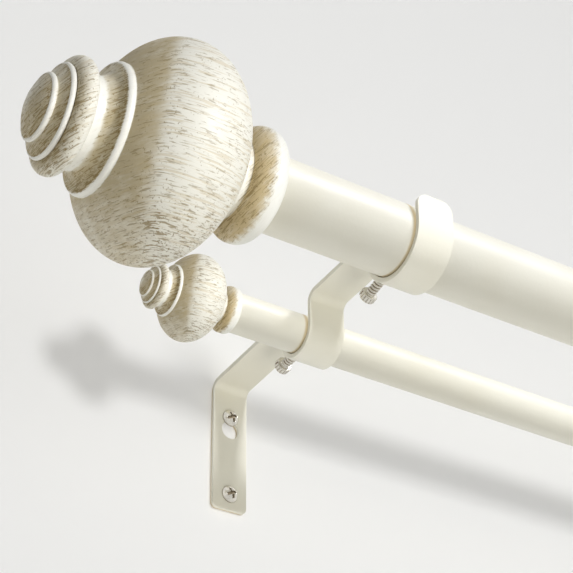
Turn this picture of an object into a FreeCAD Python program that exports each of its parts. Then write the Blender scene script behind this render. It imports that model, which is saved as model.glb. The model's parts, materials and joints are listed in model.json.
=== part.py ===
import FreeCAD, Part
import math
import os

# Double curtain pole: a thick front pole and a thin rear pole, each a telescopic pair of steel tubes
# with turned finials, carried by two brackets that are each one bent steel strip with two cradles.
# Units are millimetres. X runs along the poles, +Y goes into the wall and +Z is up.
# The origin is on the wall, at the centre of the four wall screws.

# Where the brackets and the poles are
BRACKET_SPACING = 440.0
FRONT_POLE_OUT = 128.0
FRONT_POLE_UP = 31.4
REAR_POLE_OUT = 63.5
REAR_POLE_UP = 24.3
FRONT_OVERHANG = 64.7
REAR_OVERHANG = 37.7

# Tubes
FRONT_POLE_D = 28.6
REAR_POLE_D = 15.9
FRONT_TUBE_WALL = 1.0
REAR_TUBE_WALL = 0.8
TUBE_SLIDE_GAP = 0.08
FRONT_INNER_REVEAL = 12.0
REAR_INNER_REVEAL = 12.0
FRONT_INNER_SET_IN = 30.0
REAR_INNER_SET_IN = 26.0

# Bracket strip
STRIP_WIDTH = 16.0
STRIP_THICKNESS = 2.1
STRIP_EDGE_ROUND = 0.35
PLATE_TAIL = 7.0
PLATE_CORNER_R = 2.2
ARM_UP = 32.3
ARM_RISE_DEG = 4.3
ARM_BEND_R = 4.2
CRADLE_GAP = 0.25
FRONT_LIP_RISE = 12.0
LIP_CORNER_R = 4.8

# Wall screws and the holes that take them
SCREW_SPACING = 35.0
WALL_SCREW_SHANK_R = 2.0
WALL_SCREW_NECK_R = 1.8
WALL_SCREW_LENGTH = 38.0
WALL_SCREW_POINT = 5.0
WALL_SCREW_HEAD_R = 3.7
WALL_SCREW_HEAD_H = 2.5
WALL_SCREW_RIM_H = 0.5
DRIVE_REACH = 2.1
DRIVE_WIDTH = 0.9
DRIVE_DEPTH = 1.5
SCREW_HOLE_GAP = 0.2
KEYHOLE_DROP = 5.5
KEYHOLE_GAP = 0.3

# Lock screws that press on the poles through the cradles
LOCK_SHANK_R = 2.0
LOCK_THREAD_GAP = 0.05
LOCK_TIP_GAP = 0.1
LOCK_SHANK_LENGTH = 12.0
LOCK_HEAD_R = 3.4
LOCK_HEAD_H = 3.0
LOCK_HEAD_EDGE = 0.4
LOCK_KNURLS = 20
LOCK_KNURL_DEPTH = 0.3
LOCK_SLOT_WIDTH = 0.9
LOCK_SLOT_DEPTH = 1.1
FRONT_LOCK_DIP_DEG = 15.0
REAR_LOCK_DIP_DEG = 4.0

# End plugs and the studs that hold the finials
PLUG_PRESS_GAP = 0.05
STUD_THREAD_GAP = 0.05
STUD_HOLE_RELIEF = 0.5
STUD_CHAMFER = 0.5
FRONT_PLUG_LENGTH = 14.0
FRONT_STUD_R = 3.0
FRONT_STUD_IN_PLUG = 13.0
FRONT_STUD_IN_FINIAL = 16.0
REAR_PLUG_LENGTH = 10.0
REAR_STUD_R = 2.0
REAR_STUD_IN_PLUG = 9.0
REAR_STUD_IN_FINIAL = 10.0

# Both finials: where the bead leaves the ball, in degrees round the bead's section from its tip side
BEAD_START_TURN = 120.0

# Front finial, turned about the pole's axis
FRONT_COLLAR_R = 21.8
FRONT_COLLAR_LENGTH = 13.0
FRONT_COLLAR_POLE_ROUND = 6.2
FRONT_COLLAR_BALL_ROUND = 6.4
FRONT_NECK_R = 15.0
FRONT_NECK_LENGTH = 3.4
FRONT_BALL_R = 40.9
FRONT_BALL_HALF = 28.0
FRONT_BEAD_R = 24.3
FRONT_BEAD_ROUND = 1.9
FRONT_FLANGE_LENGTH = 5.4
FRONT_WAIST_R = 17.0
FRONT_WAIST_LENGTH = 2.4
FRONT_BUTTON_R = 21.5
FRONT_BUTTON_ROUND = 3.7
FRONT_STEP_R = 17.4
FRONT_RING_R = 12.4
FRONT_RING_ROUND = 1.1
FRONT_RING_RISE = 2.2
FRONT_TIP_RISE = 3.2

# Rear finial, the same turning made smaller
REAR_COLLAR_R = 9.3
REAR_COLLAR_LENGTH = 5.4
REAR_COLLAR_POLE_ROUND = 1.2
REAR_COLLAR_BALL_ROUND = 2.7
REAR_NECK_R = 6.3
REAR_NECK_LENGTH = 1.5
REAR_BALL_R = 17.2
REAR_BALL_HALF = 11.8
REAR_BEAD_R = 10.2
REAR_BEAD_ROUND = 0.8
REAR_FLANGE_LENGTH = 2.3
REAR_WAIST_R = 7.1
REAR_WAIST_LENGTH = 1.0
REAR_BUTTON_R = 9.0
REAR_BUTTON_ROUND = 1.55
REAR_STEP_R = 7.3
REAR_RING_R = 5.2
REAR_RING_ROUND = 0.46
REAR_RING_RISE = 0.95
REAR_TIP_RISE = 1.35

LEFT = -1
RIGHT = 1
SIDES = {"left": LEFT, "right": RIGHT}
CUT_MARGIN = 1.0

vec = FreeCAD.Vector
pieces = {}


def line(a, b):
    """A straight edge between two points."""
    return Part.LineSegment(a, b).toShape()


def arc(a, through, b):
    """A round edge from one point to another through a third."""
    return Part.Arc(a, through, b).toShape()


def quarter(centre, start, end):
    """A round edge about a centre, by the shorter way from start to end."""
    out = (start - centre).normalize() + (end - centre).normalize()
    middle = centre + out.normalize() * (start - centre).Length
    return arc(start, middle, end)


def rod(radius, base, direction, length):
    """A solid round bar."""
    return Part.makeCylinder(radius, length, base, direction)


def tube(outer_r, wall, start_x, end_x, out, up):
    """A tube along X with its axis at the given distance from the wall and height."""
    base = vec(start_x, -out, up)
    length = end_x - start_x
    bore_base = base - vec(CUT_MARGIN, 0, 0)
    bore = rod(outer_r - wall, bore_base, vec(1, 0, 0), length + 2 * CUT_MARGIN)
    return rod(outer_r, base, vec(1, 0, 0), length).cut(bore)


def chamfered_pin(radius, chamfer, base, direction, length):
    """A round bar with both ends chamfered."""
    pin = rod(radius, base, direction, length)
    rims = [edge for edge in pin.Edges if isinstance(edge.Curve, Part.Circle)]
    return pin.makeChamfer(chamfer, rims)


def path_points(corner, before, after, radius):
    """Start, middle and end of the bend at a corner, and the left normals at those places."""
    into = (corner - before).normalize()
    away = (after - corner).normalize()
    half_turn = into.getAngle(away) / 2
    reach = radius * math.tan(half_turn)
    start = corner - into * reach
    end = corner + away * reach
    inward = (away - into).normalize()
    middle = corner + inward * (radius / math.cos(half_turn) - radius)
    normal_in = vec(0, -into.z, into.y)
    normal_out = vec(0, -away.z, away.y)
    normal_mid = (normal_in + normal_out).normalize()
    return (start, normal_in), (middle, normal_mid), (end, normal_out)


def strip_side(corners, radii, offset):
    """Edges of one face of a bent strip, at an offset to the left of its middle line."""
    edges = []
    direction = (corners[1] - corners[0]).normalize()
    last = corners[0] + vec(0, -direction.z, direction.y) * offset
    for index, radius in enumerate(radii, start=1):
        bend = path_points(corners[index], corners[index - 1], corners[index + 1], radius)
        start, middle, end = [point + normal * offset for point, normal in bend]
        if (start - last).Length > Part.Precision.confusion():
            edges.append(line(last, start))
        edges.append(arc(start, middle, end))
        last = end
    direction = (corners[-1] - corners[-2]).normalize()
    finish = corners[-1] + vec(0, -direction.z, direction.y) * offset
    edges.append(line(last, finish))
    return edges, finish


def bent_strip(corners, radii, thickness, width, middle_x):
    """A strip of constant thickness along rounded corners, carried across its width."""
    shift = vec(middle_x - width / 2, 0, 0)
    corners = [corner + shift for corner in corners]
    near, near_end = strip_side(corners, radii, thickness / 2)
    far, far_end = strip_side(corners, radii, -thickness / 2)
    near_start = near[0].Vertexes[0].Point
    far_start = far[0].Vertexes[0].Point
    outline = near + far + [line(near_end, far_end), line(near_start, far_start)]
    wire = Part.Wire(Part.__sortEdges__(outline))
    return Part.Face(wire).extrude(vec(width, 0, 0))


def across_edges(shape, low_z, high_z, middle_x):
    """The short edges through the strip's thickness at its two sides, between two heights."""
    found = []
    for edge in shape.Edges:
        box = edge.BoundBox
        at_side = box.XLength < 1e-6 and abs(abs(box.XMin - middle_x) - STRIP_WIDTH / 2) < 1e-6
        if at_side and edge.Length < STRIP_THICKNESS * 1.01 and low_z < box.Center.z < high_z:
            found.append(edge)
    return found


def rim_edges(shape):
    """The sharp edges of the strip: those where two faces meet at an angle."""
    sharp = []
    for edge in shape.Edges:
        faces = shape.ancestorsOfType(edge, Part.Face)
        middle = edge.valueAt((edge.FirstParameter + edge.LastParameter) / 2)
        normals = [face.normalAt(*face.Surface.parameter(middle)) for face in faces]
        if len(normals) == 2 and abs(normals[0].dot(normals[1])) < 0.9:
            sharp.append(edge)
    return sharp


def arm_height(out):
    """Height of the arm's middle line at a distance from the wall."""
    return ARM_UP + out * math.tan(math.radians(ARM_RISE_DEG))


def cradle_r(pole_d):
    """Radius of a cradle's middle line."""
    return pole_d / 2 + CRADLE_GAP + STRIP_THICKNESS / 2


def strip_corners():
    """Corners of the strip's middle line with the radius of each bend, from the wall plate to the lip."""
    plate_y = STRIP_THICKNESS / 2
    plate_end = -SCREW_SPACING / 2 - PLATE_TAIL
    places = [(plate_y, plate_end), (plate_y, arm_height(plate_y))]
    radii = [ARM_BEND_R]
    cradles = ((REAR_POLE_OUT, REAR_POLE_UP, REAR_POLE_D), (FRONT_POLE_OUT, FRONT_POLE_UP, FRONT_POLE_D))
    for out, up, diameter in cradles:
        radius = cradle_r(diameter)
        near = out - radius
        far = out + radius
        places += [(near, arm_height(near)), (near, up - radius), (far, up - radius), (far, arm_height(far))]
        radii += [ARM_BEND_R, radius, radius, ARM_BEND_R]
    places[-1] = (FRONT_POLE_OUT + cradle_r(FRONT_POLE_D), FRONT_POLE_UP + FRONT_LIP_RISE)
    return [vec(0, -out, up) for out, up in places], radii[:-1]


def wall_screw_hole(middle_x, up, radius):
    """A round cutter through the wall plate."""
    base = vec(middle_x, CUT_MARGIN, up)
    return rod(radius, base, vec(0, -1, 0), STRIP_THICKNESS + 2 * CUT_MARGIN)


def bracket(middle_x):
    """One bent strip: wall plate with a plain hole and a keyhole, arm, rear cradle, front cradle with lip."""
    corners, radii = strip_corners()
    shape = bent_strip(corners, radii, STRIP_THICKNESS, STRIP_WIDTH, middle_x)
    plate_end = corners[0].z
    lip_end = corners[-1].z
    shape = shape.makeFillet(PLATE_CORNER_R, across_edges(shape, plate_end - 1, plate_end + 1, middle_x))
    shape = shape.makeFillet(LIP_CORNER_R, across_edges(shape, lip_end - 1, lip_end + 1, middle_x))
    shape = shape.makeFillet(STRIP_EDGE_ROUND, rim_edges(shape))
    slot_r = WALL_SCREW_SHANK_R + SCREW_HOLE_GAP
    upper = SCREW_SPACING / 2
    keyhole = upper - KEYHOLE_DROP
    corner = vec(middle_x - slot_r, -STRIP_THICKNESS - CUT_MARGIN, keyhole)
    slot = Part.makeBox(2 * slot_r, STRIP_THICKNESS + 2 * CUT_MARGIN, KEYHOLE_DROP, corner)
    cutters = [slot]
    cutters.append(wall_screw_hole(middle_x, upper, slot_r))
    cutters.append(wall_screw_hole(middle_x, keyhole, WALL_SCREW_HEAD_R + KEYHOLE_GAP))
    cutters.append(wall_screw_hole(middle_x, -SCREW_SPACING / 2, slot_r))
    for pole in POLES.values():
        centre, direction = lock_axis(pole, middle_x)
        reach = cradle_r(pole["d"]) + STRIP_THICKNESS
        cutters.append(rod(LOCK_SHANK_R + LOCK_THREAD_GAP, centre, direction, reach))
    return shape.cut(cutters)


def wall_screw(middle_x, up):
    """Pan-head screw with a cross recess, a plain neck through the plate and a shank into the wall."""
    seat_y = -STRIP_THICKNESS
    top_y = seat_y - WALL_SCREW_HEAD_H
    rim_y = seat_y - WALL_SCREW_RIM_H
    dome_h = WALL_SCREW_HEAD_H - WALL_SCREW_RIM_H
    dome_r = (WALL_SCREW_HEAD_R ** 2 + dome_h ** 2) / (2 * dome_h)
    half_angle = math.asin(WALL_SCREW_HEAD_R / dome_r) / 2
    centre_y = top_y + dome_r
    on_dome = vec(dome_r * math.sin(half_angle), centre_y - dome_r * math.cos(half_angle), 0)
    shank_end = seat_y + WALL_SCREW_LENGTH - WALL_SCREW_POINT
    top = vec(0, top_y, 0)
    rim = vec(WALL_SCREW_HEAD_R, rim_y, 0)
    seat = vec(WALL_SCREW_HEAD_R, seat_y, 0)
    neck = vec(WALL_SCREW_NECK_R, seat_y, 0)
    neck_end = vec(WALL_SCREW_NECK_R, 0, 0)
    thread = vec(WALL_SCREW_SHANK_R, 0, 0)
    shank = vec(WALL_SCREW_SHANK_R, shank_end, 0)
    point = vec(0, shank_end + WALL_SCREW_POINT, 0)
    edges = [arc(top, on_dome, rim)]
    corners = [rim, seat, neck, neck_end, thread, shank, point, top]
    edges += [line(start, end) for start, end in zip(corners, corners[1:])]
    turned = Part.Face(Part.Wire(edges)).revolve(vec(0, 0, 0), vec(0, 1, 0), 360)
    recess_y = top_y - CUT_MARGIN
    recess_h = DRIVE_DEPTH + CUT_MARGIN
    wide = vec(-DRIVE_REACH, recess_y, -DRIVE_WIDTH / 2)
    tall = vec(-DRIVE_WIDTH / 2, recess_y, -DRIVE_REACH)
    blades = [Part.makeBox(2 * DRIVE_REACH, recess_h, DRIVE_WIDTH, wide)]
    blades.append(Part.makeBox(DRIVE_WIDTH, recess_h, 2 * DRIVE_REACH, tall))
    return turned.cut(blades).translated(vec(middle_x, 0, up))


def lock_axis(pole, middle_x):
    """Centre of the pole at a bracket, and the way its lock screw points out towards the wall."""
    dip = math.radians(pole["dip"])
    centre = vec(middle_x, -pole["out"], pole["up"])
    return centre, vec(0, math.cos(dip), -math.sin(dip))


def lock_screw(pole, middle_x):
    """Slotted screw with a knurled head, from the pole's surface out through the cradle."""
    centre, direction = lock_axis(pole, middle_x)
    tip = pole["d"] / 2 + LOCK_TIP_GAP
    head_start = tip + LOCK_SHANK_LENGTH
    along = vec(0, 0, 1)
    shank_length = LOCK_SHANK_LENGTH + LOCK_HEAD_EDGE
    shank = chamfered_pin(LOCK_SHANK_R, LOCK_HEAD_EDGE, vec(0, 0, tip), along, shank_length)
    points = []
    for index in range(2 * LOCK_KNURLS):
        radius = LOCK_HEAD_R - LOCK_KNURL_DEPTH * (index % 2)
        turn = math.pi * index / LOCK_KNURLS
        points.append(vec(radius * math.cos(turn), radius * math.sin(turn), head_start))
    knurled = Part.Face(Part.makePolygon(points + points[:1])).extrude(along * LOCK_HEAD_H)
    blank = chamfered_pin(LOCK_HEAD_R, LOCK_HEAD_EDGE, vec(0, 0, head_start), along, LOCK_HEAD_H)
    slot_base = vec(-LOCK_HEAD_R, -LOCK_SLOT_WIDTH / 2, head_start + LOCK_HEAD_H - LOCK_SLOT_DEPTH)
    slot = Part.makeBox(2 * LOCK_HEAD_R, LOCK_SLOT_WIDTH, LOCK_SLOT_DEPTH + CUT_MARGIN, slot_base)
    screw = knurled.common(blank).cut(slot).fuse(shank)
    turn = FreeCAD.Rotation(along, direction)
    return screw.transformed(FreeCAD.Placement(centre, turn).toMatrix(), True)


def finial_profile(size, hole_r, hole_depth):
    """Half section of a finial: x is the distance from the pole's end, y the radius."""
    collar_end = size["collar_length"]
    pole_round = size["collar_pole_round"]
    ball_round = size["collar_ball_round"]
    collar_r = size["collar_r"]
    face_rim = vec(0, collar_r - pole_round, 0)
    rim_start = vec(pole_round, collar_r, 0)
    rim_end = vec(collar_end - ball_round, collar_r, 0)
    collar_back = vec(collar_end, collar_r - ball_round, 0)
    edges = [line(vec(0, hole_r, 0), face_rim)]
    edges.append(quarter(vec(pole_round, face_rim.y, 0), face_rim, rim_start))
    edges.append(line(rim_start, rim_end))
    edges.append(quarter(vec(rim_end.x, collar_back.y, 0), rim_end, collar_back))

    # The neck runs from the foot of the collar to where the ball has the neck's radius.
    neck_foot = vec(collar_end, size["neck_r"], 0)
    ball_start = vec(collar_end + size["neck_length"], size["neck_r"], 0)
    if (collar_back - neck_foot).Length > Part.Precision.confusion():
        edges.append(line(collar_back, neck_foot))
    edges.append(line(neck_foot, ball_start))

    # The ball is half an ellipse between the neck and the bead.
    bead_round = size["bead_round"]
    bead_foot_r = size["bead_r"] - bead_round
    bead_turn = math.radians(BEAD_START_TURN)
    ball_end_r = bead_foot_r + bead_round * math.sin(bead_turn)
    start_turn = math.acos(size["neck_r"] / size["ball_r"])
    end_turn = math.acos(ball_end_r / size["ball_r"])
    centre = vec(ball_start.x + size["ball_half"] * math.sin(start_turn), 0, 0)
    radius_tip = centre + vec(0, size["ball_r"], 0)
    length_tip = centre + vec(size["ball_half"], 0, 0)
    ellipse = Part.Ellipse(radius_tip, length_tip, centre)
    ball_end = vec(centre.x + size["ball_half"] * math.sin(end_turn), ball_end_r, 0)
    edges.append(Part.ArcOfEllipse(ellipse, -start_turn, end_turn).toShape())

    # Bead, hollow flange, waist and the rounded rim of the button.
    bead_centre = vec(ball_end.x - bead_round * math.cos(bead_turn), bead_foot_r, 0)
    bead_end = bead_centre + vec(bead_round, 0, 0)
    edges.append(arc(ball_end, bead_centre + vec(0, bead_round, 0), bead_end))
    waist_start = vec(bead_end.x + size["flange_length"], size["waist_r"], 0)
    rise = bead_end.y - waist_start.y
    hollow_r = (size["flange_length"] ** 2 + rise ** 2) / (2 * rise)
    edges.append(quarter(waist_start + vec(0, hollow_r, 0), bead_end, waist_start))
    waist_end = waist_start + vec(size["waist_length"], 0, 0)
    edges.append(line(waist_start, waist_end))
    rim_round = size["button_round"]
    button_under = vec(waist_end.x, size["button_r"] - rim_round, 0)
    button_over = button_under + vec(2 * rim_round, 0, 0)
    edges.append(line(waist_end, button_under))
    edges.append(arc(button_under, button_under + vec(rim_round, rim_round, 0), button_over))

    # Two fine rings on the button's end, then the low dome of the tip.
    ring_round = size["ring_round"]
    last_point = button_over
    for ring_r, ring_start in ((size["step_r"], button_over.x), (size["ring_r"], None)):
        start_x = last_point.x + size["ring_rise"] if ring_start is None else ring_start
        foot = vec(start_x, ring_r - ring_round, 0)
        edges.append(line(last_point, foot))
        last_point = foot + vec(2 * ring_round, 0, 0)
        edges.append(arc(foot, foot + vec(ring_round, ring_round, 0), last_point))
    dome_h = size["tip_rise"]
    dome_r = (last_point.y ** 2 + dome_h ** 2) / (2 * dome_h)
    tip = vec(last_point.x + dome_h, 0, 0)
    edges.append(quarter(tip - vec(dome_r, 0, 0), last_point, tip))

    # The stud's blind hole closes the section.
    edges.append(line(tip, vec(hole_depth, 0, 0)))
    edges.append(line(vec(hole_depth, 0, 0), vec(hole_depth, hole_r, 0)))
    edges.append(line(vec(hole_depth, hole_r, 0), vec(0, hole_r, 0)))
    return Part.Wire(Part.__sortEdges__(edges))


def finial(pole, face_x, side):
    """A finial turned about the pole's axis, its collar against the tube's end."""
    hole_r = pole["stud_r"] + STUD_THREAD_GAP
    hole_depth = pole["stud_in_finial"] + STUD_HOLE_RELIEF
    profile = finial_profile(pole["finial"], hole_r, hole_depth)
    turned = Part.Face(profile).revolve(vec(0, 0, 0), vec(1, 0, 0), 360)
    if side == LEFT:
        turned.rotate(vec(0, 0, 0), vec(0, 0, 1), 180)
    return turned.translated(vec(face_x, -pole["out"], pole["up"]))


def end_fittings(name, pole, side_name, face_x, bore_r):
    """The finial at one end of a pole, the plug in the tube's end and the stud that joins them."""
    side = SIDES[side_name]
    face = vec(face_x, -pole["out"], pole["up"])
    inward = vec(-side, 0, 0)
    plug = rod(bore_r - PLUG_PRESS_GAP, face, inward, pole["plug_length"])
    stud_hole = rod(pole["stud_r"] + STUD_THREAD_GAP, face, inward, pole["plug_length"])
    stud_start = face - inward * pole["stud_in_finial"]
    stud_length = pole["stud_in_finial"] + pole["stud_in_plug"]
    pieces[f"{name}_finial_{side_name}"] = finial(pole, face_x, side)
    pieces[f"{name}_end_plug_{side_name}"] = plug.cut(stud_hole)
    pieces[f"{name}_finial_stud_{side_name}"] = chamfered_pin(
        pole["stud_r"], STUD_CHAMFER, stud_start, inward, stud_length)


def pole_pieces(name, pole):
    """The outer and inner tube of one pole with the fittings at both its ends."""
    reach = BRACKET_SPACING / 2 + pole["overhang"]
    outer_r = pole["d"] / 2
    inner_r = outer_r - pole["wall"] - TUBE_SLIDE_GAP
    place = (pole["out"], pole["up"])
    pieces[f"{name}_outer_tube"] = tube(outer_r, pole["wall"], -reach, reach - pole["reveal"], *place)
    pieces[f"{name}_inner_tube"] = tube(inner_r, pole["wall"], pole["set_in"] - reach, reach, *place)
    end_fittings(name, pole, "left", -reach, outer_r - pole["wall"])
    end_fittings(name, pole, "right", reach, inner_r - pole["wall"])


FRONT_FINIAL = {
    "collar_r": FRONT_COLLAR_R,
    "collar_length": FRONT_COLLAR_LENGTH,
    "collar_pole_round": FRONT_COLLAR_POLE_ROUND,
    "collar_ball_round": FRONT_COLLAR_BALL_ROUND,
    "neck_r": FRONT_NECK_R,
    "neck_length": FRONT_NECK_LENGTH,
    "ball_r": FRONT_BALL_R,
    "ball_half": FRONT_BALL_HALF,
    "bead_r": FRONT_BEAD_R,
    "bead_round": FRONT_BEAD_ROUND,
    "flange_length": FRONT_FLANGE_LENGTH,
    "waist_r": FRONT_WAIST_R,
    "waist_length": FRONT_WAIST_LENGTH,
    "button_r": FRONT_BUTTON_R,
    "button_round": FRONT_BUTTON_ROUND,
    "step_r": FRONT_STEP_R,
    "ring_r": FRONT_RING_R,
    "ring_round": FRONT_RING_ROUND,
    "ring_rise": FRONT_RING_RISE,
    "tip_rise": FRONT_TIP_RISE,
}
REAR_FINIAL = {
    "collar_r": REAR_COLLAR_R,
    "collar_length": REAR_COLLAR_LENGTH,
    "collar_pole_round": REAR_COLLAR_POLE_ROUND,
    "collar_ball_round": REAR_COLLAR_BALL_ROUND,
    "neck_r": REAR_NECK_R,
    "neck_length": REAR_NECK_LENGTH,
    "ball_r": REAR_BALL_R,
    "ball_half": REAR_BALL_HALF,
    "bead_r": REAR_BEAD_R,
    "bead_round": REAR_BEAD_ROUND,
    "flange_length": REAR_FLANGE_LENGTH,
    "waist_r": REAR_WAIST_R,
    "waist_length": REAR_WAIST_LENGTH,
    "button_r": REAR_BUTTON_R,
    "button_round": REAR_BUTTON_ROUND,
    "step_r": REAR_STEP_R,
    "ring_r": REAR_RING_R,
    "ring_round": REAR_RING_ROUND,
    "ring_rise": REAR_RING_RISE,
    "tip_rise": REAR_TIP_RISE,
}
POLES = {
    "front": {
        "d": FRONT_POLE_D,
        "out": FRONT_POLE_OUT,
        "up": FRONT_POLE_UP,
        "overhang": FRONT_OVERHANG,
        "wall": FRONT_TUBE_WALL,
        "reveal": FRONT_INNER_REVEAL,
        "set_in": FRONT_INNER_SET_IN,
        "dip": FRONT_LOCK_DIP_DEG,
        "plug_length": FRONT_PLUG_LENGTH,
        "stud_r": FRONT_STUD_R,
        "stud_in_plug": FRONT_STUD_IN_PLUG,
        "stud_in_finial": FRONT_STUD_IN_FINIAL,
        "finial": FRONT_FINIAL,
    },
    "rear": {
        "d": REAR_POLE_D,
        "out": REAR_POLE_OUT,
        "up": REAR_POLE_UP,
        "overhang": REAR_OVERHANG,
        "wall": REAR_TUBE_WALL,
        "reveal": REAR_INNER_REVEAL,
        "set_in": REAR_INNER_SET_IN,
        "dip": REAR_LOCK_DIP_DEG,
        "plug_length": REAR_PLUG_LENGTH,
        "stud_r": REAR_STUD_R,
        "stud_in_plug": REAR_STUD_IN_PLUG,
        "stud_in_finial": REAR_STUD_IN_FINIAL,
        "finial": REAR_FINIAL,
    },
}

for pole_name, pole_sizes in POLES.items():
    pole_pieces(pole_name, pole_sizes)
for side_word, side_sign in SIDES.items():
    bracket_x = side_sign * BRACKET_SPACING / 2
    pieces[f"bracket_{side_word}"] = bracket(bracket_x)
    pieces[f"wall_screw_upper_{side_word}"] = wall_screw(bracket_x, SCREW_SPACING / 2)
    pieces[f"wall_screw_lower_{side_word}"] = wall_screw(bracket_x, -SCREW_SPACING / 2)
    for pole_name, pole_sizes in POLES.items():
        pieces[f"{pole_name}_lock_screw_{side_word}"] = lock_screw(pole_sizes, bracket_x)

os.makedirs("parts", exist_ok=True)
for node, shape in pieces.items():
    shape.exportStep(f"parts/{node}.step")
    print(node, "valid" if shape.isValid() else "NOT VALID", len(shape.Solids), round(shape.Volume, 1))
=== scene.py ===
import json
import math

import bpy
import numpy as np
from bpy.props import FloatProperty, FloatVectorProperty, IntProperty, PointerProperty
from bpy.types import Operator, Panel, PropertyGroup
from mathutils import Matrix, Vector

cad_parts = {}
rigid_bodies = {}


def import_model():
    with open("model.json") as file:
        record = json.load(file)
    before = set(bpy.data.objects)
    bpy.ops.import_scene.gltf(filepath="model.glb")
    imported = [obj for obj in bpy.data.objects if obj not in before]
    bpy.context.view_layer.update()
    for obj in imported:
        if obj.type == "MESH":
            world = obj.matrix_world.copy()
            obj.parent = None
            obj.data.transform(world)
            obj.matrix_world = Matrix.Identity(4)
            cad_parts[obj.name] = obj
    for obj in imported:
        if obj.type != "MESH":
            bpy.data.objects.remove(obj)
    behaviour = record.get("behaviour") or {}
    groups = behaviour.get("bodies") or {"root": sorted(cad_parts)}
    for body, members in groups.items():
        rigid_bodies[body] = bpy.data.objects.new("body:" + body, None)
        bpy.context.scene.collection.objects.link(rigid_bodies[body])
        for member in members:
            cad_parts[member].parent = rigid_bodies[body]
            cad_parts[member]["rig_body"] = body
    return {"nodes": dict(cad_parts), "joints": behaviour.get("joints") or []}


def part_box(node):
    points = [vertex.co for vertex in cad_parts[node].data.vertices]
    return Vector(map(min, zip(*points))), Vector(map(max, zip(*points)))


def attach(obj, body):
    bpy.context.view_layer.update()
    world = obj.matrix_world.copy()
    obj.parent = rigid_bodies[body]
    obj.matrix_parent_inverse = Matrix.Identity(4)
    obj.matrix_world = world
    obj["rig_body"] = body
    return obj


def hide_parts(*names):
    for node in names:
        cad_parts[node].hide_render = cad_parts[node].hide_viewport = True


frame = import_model()

bl_info = {
    "name": "Double Curtain Pole",
    "version": (1, 0, 0),
    "blender": (4, 5, 0),
    "location": "View3D > Sidebar > Curtain Pole",
    "description": "Dresses a double curtain pole: antique finials, painted tubes, nickel screws",
    "category": "Object",
}

SIDES = {"left": -1, "right": 1}
POLES = ("front", "rear")

# Each finial size: its name, its label, what it is, and its value on the front and on the rear finial.
FINIAL_SIZES = (
    ("collar_r", "Collar Radius", "Radius of the collar against the pole", 0.0218, 0.0093),
    ("collar_length", "Collar Length", "Length of the collar along the pole", 0.013, 0.0054),
    ("pole_round", "Pole-side Round", "Round of the collar's edge on the pole side", 0.0062, 0.0012),
    ("ball_round", "Ball-side Round", "Round of the collar's edge on the ball side", 0.0064, 0.0027),
    ("neck_r", "Neck Radius", "Radius of the neck between collar and ball", 0.015, 0.0063),
    ("neck_length", "Neck Length", "Length of the neck", 0.0034, 0.0015),
    ("ball_r", "Ball Radius", "Greatest radius of the flattened ball", 0.0409, 0.0172),
    ("ball_half", "Ball Half Length", "Half the ball's length along the pole", 0.028, 0.0118),
    ("bead_r", "Bead Radius", "Radius over the bead on the ball's end", 0.0243, 0.0102),
    ("bead_round", "Bead Round", "Radius of the bead's own section", 0.0019, 0.0008),
    ("flange_length", "Flange Length", "Length of the hollow flange", 0.0054, 0.0023),
    ("waist_r", "Waist Radius", "Radius of the waist under the button", 0.017, 0.0071),
    ("waist_length", "Waist Length", "Length of the waist", 0.0024, 0.001),
    ("button_r", "Button Radius", "Greatest radius of the end button", 0.0215, 0.009),
    ("button_round", "Button Round", "Radius of the button's rim section", 0.0037, 0.00155),
    ("step_r", "Step Radius", "Radius over the button's first ring", 0.0174, 0.0073),
    ("ring_r", "Ring Radius", "Radius over the button's second ring", 0.0124, 0.0052),
    ("ring_round", "Ring Round", "Radius of the rings' own section", 0.0011, 0.00046),
    ("ring_rise", "Ring Rise", "Rise of the face between the rings", 0.0022, 0.00095),
    ("tip_rise", "Tip Rise", "Height of the dome at the tip", 0.0032, 0.00135),
    ("hole_r", "Stud Hole Radius", "Radius of the hole for the stud", 0.00305, 0.00205),
    ("hole_depth", "Stud Hole Depth", "Depth of the hole for the stud", 0.0165, 0.0105),
    ("mesh_step", "Mesh Step", "Spacing of the mesh rings along the section", 0.0006, 0.0003),
)


def length_property(label, description, value):
    """A length that a user can change."""
    return FloatProperty(
        name=label, description=description, default=value, min=0.0, precision=5, unit="LENGTH")


def finial_properties(column):
    """Length properties for one finial, with the values of that column as defaults."""
    return {row[0]: length_property(row[1], row[2], row[column]) for row in FINIAL_SIZES}


def colour_property(label, description, value):
    """A colour that a user can change."""
    return FloatVectorProperty(
        name=label, description=description, default=value, size=3, min=0.0, max=1.0, subtype="COLOR")


class FrontFinialSizes(PropertyGroup):
    """Sizes of the big finials on the front pole."""
    __annotations__ = finial_properties(3)


class RearFinialSizes(PropertyGroup):
    """Sizes of the small finials on the rear pole."""
    __annotations__ = finial_properties(4)


class LockScrewSizes(PropertyGroup):
    """Sizes of the knurled screws that press on the poles."""
    tip_gap: length_property("Tip Gap", "Room between the tip and the pole", 0.0001)
    shank_r: length_property("Shank Radius", "Outer radius of the thread", 0.002)
    shank_length: length_property("Shank Length", "Length from tip to head", 0.012)
    pitch: length_property("Pitch", "Distance from one thread ridge to the next", 0.0014)
    groove: length_property("Groove", "Depth of the thread", 0.00045)
    head_r: length_property("Head Radius", "Outer radius of the knurled head", 0.0034)
    head_h: length_property("Head Height", "Height of the head", 0.003)
    edge: length_property("Edge", "Chamfer on the tip and on the head", 0.0004)
    knurls: IntProperty(name="Knurls", description="Ridges around the head", default=16, min=3)
    knurl_depth: length_property("Knurl Depth", "Depth between the ridges", 0.0002)
    slot_width: length_property("Slot Width", "Width of the screwdriver slot", 0.0009)
    slot_depth: length_property("Slot Depth", "Depth of the screwdriver slot", 0.0011)


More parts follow.
